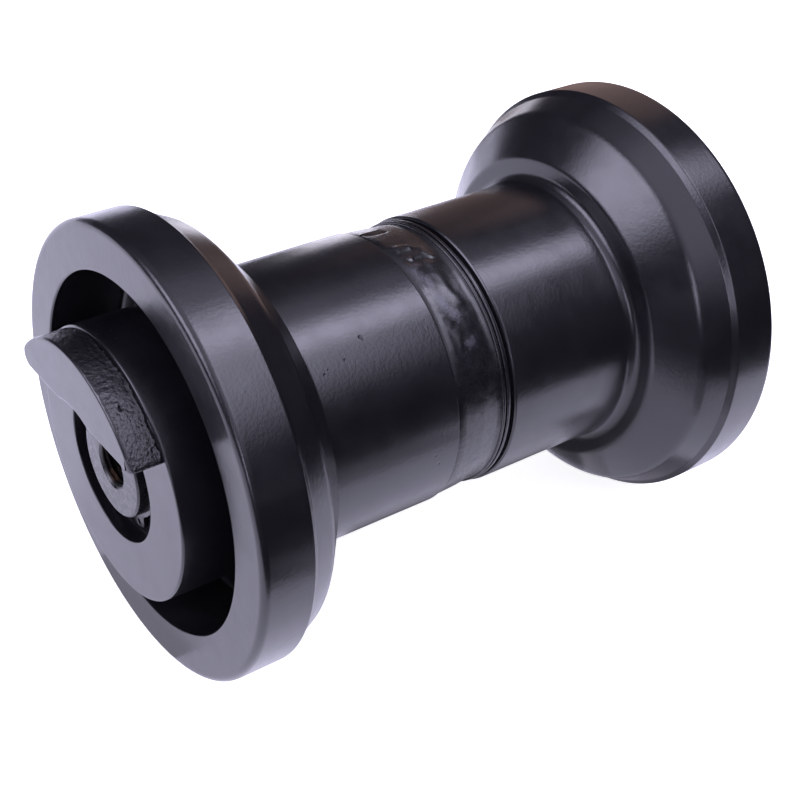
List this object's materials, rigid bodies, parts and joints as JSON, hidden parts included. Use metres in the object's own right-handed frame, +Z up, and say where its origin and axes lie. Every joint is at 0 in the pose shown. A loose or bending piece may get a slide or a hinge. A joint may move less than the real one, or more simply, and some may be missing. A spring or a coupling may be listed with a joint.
{
  "type": "track roller",
  "caption": "Double-flanged track roller: welded steel shell turning on a fixed shaft between two collars with half-moon anti-rotation steps.",
  "frame": {"origin": "the middle of the roller's axis, halfway between its two flanges", "axes": "+Y along the roller's axis; +Z up, towards the half-moon steps of the collars; the end in full view is at -Y"},
  "size_m": [0.2, 0.3224, 0.2],
  "materials": {
    "shell_paint": "satin black enamel over a forged and turned steel shell",
    "weld_bead": "satin black enamel over a rippled weld bead",
    "collar_paint": "satin black enamel, pitted as-cast skin on the half-moon step",
    "shaft_steel": "ground journal, black enamel on the exposed ends",
    "spring_steel": "phosphated spring steel, painted over",
    "plug_steel": "zinc-plated, with sealant",
    "bearing_bronze": "wrapped bronze with oil pockets",
    "seal_iron": "white-iron ring, lapped face",
    "seal_rubber": "matt nitrile rubber"
  },
  "bodies": {
    "shaft_assembly": {"shaft": "shaft_steel", "oil_fill_plug": "plug_steel", "left_fixed_seal_ring": "seal_iron", "right_fixed_seal_ring": "seal_iron", "left_fixed_toric": "seal_rubber", "right_fixed_toric": "seal_rubber", "left_collar_o_ring": "seal_rubber", "right_collar_o_ring": "seal_rubber", "left_collar": "collar_paint", "right_collar": "collar_paint", "left_circlip": "spring_steel", "right_circlip": "spring_steel"},
    "roller_shell": {"left_shell_half": "shell_paint", "right_shell_half": "shell_paint", "girth_weld": "weld_bead", "left_bush": "bearing_bronze", "right_bush": "bearing_bronze", "left_turning_seal_ring": "seal_iron", "right_turning_seal_ring": "seal_iron", "left_turning_toric": "seal_rubber", "right_turning_toric": "seal_rubber"}
  },
  "joints": [
    {"name": "roller_spin", "type": "hinge", "parent": "shaft_assembly", "child": "roller_shell", "pos_m": [0, 0, 0], "axis": [0, 1, 0], "continuous": true}
  ]
}
